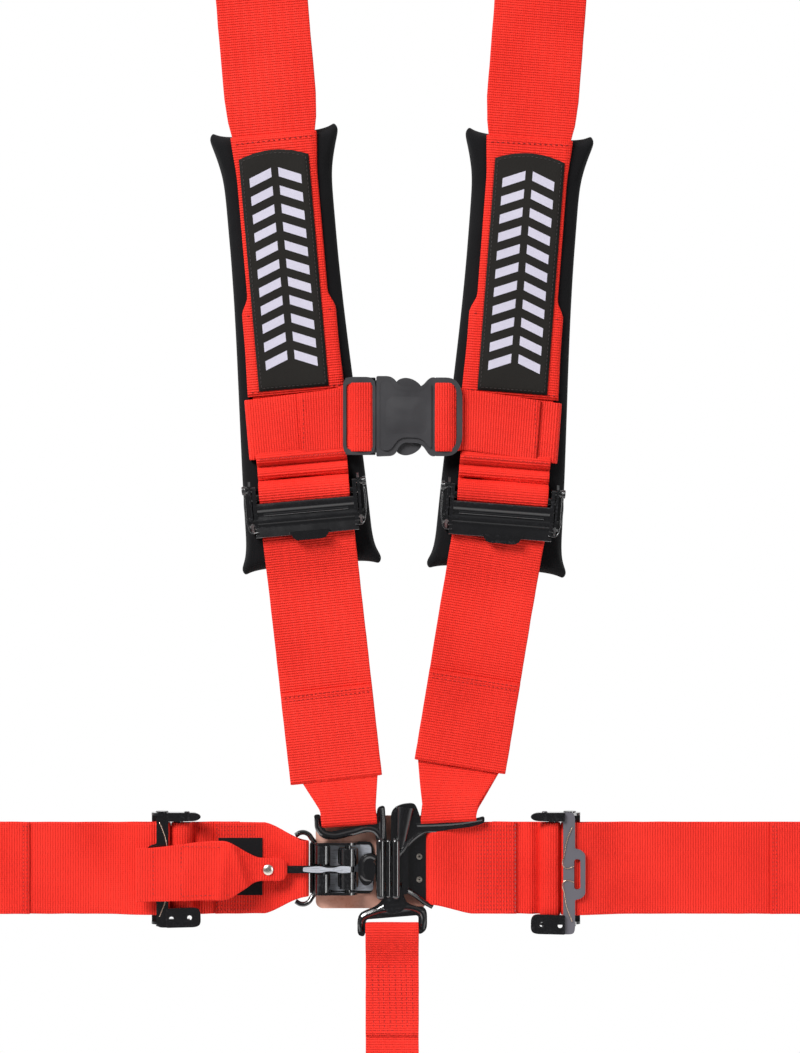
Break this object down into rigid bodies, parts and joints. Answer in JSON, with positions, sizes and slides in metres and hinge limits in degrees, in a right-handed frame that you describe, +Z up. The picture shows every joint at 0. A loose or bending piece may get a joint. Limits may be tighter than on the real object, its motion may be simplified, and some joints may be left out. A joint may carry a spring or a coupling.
{
  "type": "racing harness",
  "caption": "Racing harness with padded shoulder straps, sternum strap, lap belts and crotch strap meeting at a lever latch, with bolt-in anchor plates.",
  "frame": {"origin": "midway between the two shoulder anchor bolt holes, in the middle of the anchor plates' thickness", "axes": "+Z up along the shoulder straps towards their anchors, front of the harness faces -Y, +X towards the right of the picture plane"},
  "size_m": [0.944, 0.0395, 1.221],
  "materials": {
    "webbing": "woven polyester, fine cross ribs",
    "pad_cloth": "matte knitted cloth over foam",
    "label_cloth": "fine woven patch with a printed pattern",
    "hook_and_loop": "short loop pile",
    "black_steel": "gloss black coating on stamped steel",
    "bright_steel": "plated, worn bright",
    "spring_wire": "drawn wire",
    "anchor_steel": "zinc plated",
    "buckle_plastic": "satin moulded acetal",
    "tan_leather": "smooth leather with a soft sheen"
  },
  "bodies": {
    "root": {"shoulder_anchor_plate_left": "anchor_steel", "shoulder_strap_upper_left": "webbing", "shoulder_strap_lower_left": "webbing", "shoulder_adjuster_frame_left": "black_steel", "shoulder_adjuster_springs_left": "spring_wire", "sternum_strap_left": "webbing", "shoulder_tongue_left": "black_steel", "shoulder_anchor_plate_right": "anchor_steel", "shoulder_strap_upper_right": "webbing", "shoulder_strap_lower_right": "webbing", "shoulder_adjuster_frame_right": "black_steel", "shoulder_adjuster_springs_right": "spring_wire", "sternum_strap_right": "webbing", "shoulder_tongue_right": "black_steel", "sternum_buckle_plug": "buckle_plastic", "sternum_buckle_socket": "buckle_plastic", "crotch_tongue": "black_steel", "latch_base": "black_steel", "latch_rollers": "black_steel", "latch_pin_outer": "bright_steel", "latch_pin_lever": "bright_steel", "latch_claw": "black_steel", "latch_link": "black_steel", "link_rivets": "bright_steel", "latch_backing_pad": "tan_leather"},
    "latch_lever": {"latch_lever": "black_steel", "pull_tab": "webbing", "pull_tab_rivet": "bright_steel"},
    "lap_left": {"lap_strap_inner_left": "webbing", "lap_strap_outer_left": "webbing", "hook_and_loop_patch": "hook_and_loop", "lap_adjuster_frame_left": "black_steel", "lap_adjuster_springs_left": "spring_wire"},
    "lap_right": {"lap_strap_inner_right": "webbing", "lap_strap_outer_right": "webbing", "lap_adjuster_frame_right": "black_steel", "lap_adjuster_springs_right": "spring_wire"},
    "crotch": {"crotch_strap": "webbing"},
    "crotch_anchor": {"crotch_anchor_plate": "anchor_steel"},
    "shoulder_pad_left": {"shoulder_pad_left": "pad_cloth", "pad_sleeve_left": "webbing", "pad_label_left": "label_cloth"},
    "lap_anchor_left": {"lap_anchor_plate_left": "anchor_steel"},
    "shoulder_release_left": {"shoulder_release_plate_left": "black_steel"},
    "shoulder_slide_left": {"shoulder_slide_bar_left": "black_steel"},
    "lap_release_left": {"lap_release_plate_left": "black_steel"},
    "lap_slide_left": {"lap_slide_bar_left": "black_steel"},
    "shoulder_pad_right": {"shoulder_pad_right": "pad_cloth", "pad_sleeve_right": "webbing", "pad_label_right": "label_cloth"},
    "lap_anchor_right": {"lap_anchor_plate_right": "anchor_steel"},
    "shoulder_release_right": {"shoulder_release_plate_right": "black_steel"},
    "shoulder_slide_right": {"shoulder_slide_bar_right": "black_steel"},
    "lap_release_right": {"lap_release_plate_right": "black_steel"},
    "lap_slide_right": {"lap_slide_bar_right": "black_steel"},
    "prong_upper": {"sternum_buckle_prong_upper": "buckle_plastic"},
    "prong_lower": {"sternum_buckle_prong_lower": "buckle_plastic"}
  },
  "joints": [
    {"name": "lever_open", "type": "hinge", "parent": "root", "child": "latch_lever", "pos_m": [-0.043, -0.0142, -0.894], "axis": [0, 0, 1], "range_deg": [0, 100]},
    {"name": "lap_left_swing", "type": "hinge", "parent": "root", "child": "lap_left", "pos_m": [-0.08, -0.012, -0.894], "axis": [0, 0, 1], "range_deg": [-60, 0]},
    {"name": "lap_right_swing", "type": "hinge", "parent": "root", "child": "lap_right", "pos_m": [0.0273, -0.0082, -0.894], "axis": [0, 0, 1], "range_deg": [0, 60]},
    {"name": "crotch_swing", "type": "hinge", "parent": "root", "child": "crotch", "pos_m": [-0.0065, -0.012, -0.9445], "axis": [1, 0, 0], "range_deg": [-45, 45]},
    {"name": "crotch_anchor_swivel", "type": "hinge", "parent": "crotch", "child": "crotch_anchor", "pos_m": [-0.0065, -0.006, -1.151], "axis": [1, 0, 0], "range_deg": [-60, 60]},
    {"name": "shoulder_pad_slide_left", "type": "slide", "parent": "root", "child": "shoulder_pad_left", "axis": [-0.0872, 0, 0.9962], "range_m": [0, 0.05]},
    {"name": "shoulder_release_left", "type": "hinge", "parent": "root", "child": "shoulder_release_left", "pos_m": [-0.07949, -0.0175, -0.5773], "axis": [-0.9962, 0, -0.0872], "range_deg": [0, 35], "stiffness_Nm_per_rad": 0.05, "springref_deg": -20.05},
    {"name": "shoulder_slide_bar_left", "type": "slide", "parent": "root", "child": "shoulder_slide_left", "axis": [-0.0872, 0, 0.9962], "range_m": [0, 0.002]},
    {"name": "lap_release_left", "type": "hinge", "parent": "lap_left", "child": "lap_release_left", "pos_m": [-0.176, -0.0175, -0.894], "axis": [0, 0, 1], "range_deg": [0, 6], "stiffness_Nm_per_rad": 0.05, "springref_deg": -20.05},
    {"name": "lap_slide_bar_left", "type": "slide", "parent": "lap_left", "child": "lap_slide_left", "axis": [1, 0, 0], "range_m": [0, 0.002]},
    {"name": "lap_anchor_swivel_left", "type": "hinge", "parent": "lap_left", "child": "lap_anchor_left", "pos_m": [-0.418, -0.006, -0.894], "axis": [0, 0, 1], "range_deg": [-60, 60]},
    {"name": "shoulder_pad_slide_right", "type": "slide", "parent": "root", "child": "shoulder_pad_right", "axis": [0.0767, 0, 0.9971], "range_m": [0, 0.05]},
    {"name": "shoulder_release_right", "type": "hinge", "parent": "root", "child": "shoulder_release_right", "pos_m": [0.08533, -0.0175, -0.58058], "axis": [-0.9971, 0, 0.0767], "range_deg": [0, 35], "stiffness_Nm_per_rad": 0.05, "springref_deg": -20.05},
    {"name": "shoulder_slide_bar_right", "type": "slide", "parent": "root", "child": "shoulder_slide_right", "axis": [0.0767, 0, 0.9971], "range_m": [0, 0.002]},
    {"name": "lap_release_right", "type": "hinge", "parent": "lap_right", "child": "lap_release_right", "pos_m": [0.1195, -0.0175, -0.894], "axis": [0, 0, -1], "range_deg": [0, 35], "stiffness_Nm_per_rad": 0.05, "springref_deg": -20.05},
    {"name": "lap_slide_bar_right", "type": "slide", "parent": "lap_right", "child": "lap_slide_right", "axis": [-1, 0, 0], "range_m": [0, 0.002]},
    {"name": "lap_anchor_swivel_right", "type": "hinge", "parent": "lap_right", "child": "lap_anchor_right", "pos_m": [0.418, -0.006, -0.894], "axis": [0, 0, 1], "range_deg": [-60, 60]},
    {"name": "prong_upper_squeeze", "type": "hinge", "parent": "root", "child": "prong_upper", "pos_m": [-0.019, -0.01, -0.498], "axis": [0, 1, 0], "range_deg": [0, 5], "stiffness_Nm_per_rad": 0.3},
    {"name": "prong_lower_squeeze", "type": "hinge", "parent": "root", "child": "prong_lower", "pos_m": [-0.019, -0.01, -0.545], "axis": [0, -1, 0], "range_deg": [0, 5], "stiffness_Nm_per_rad": 0.3}
  ]
}
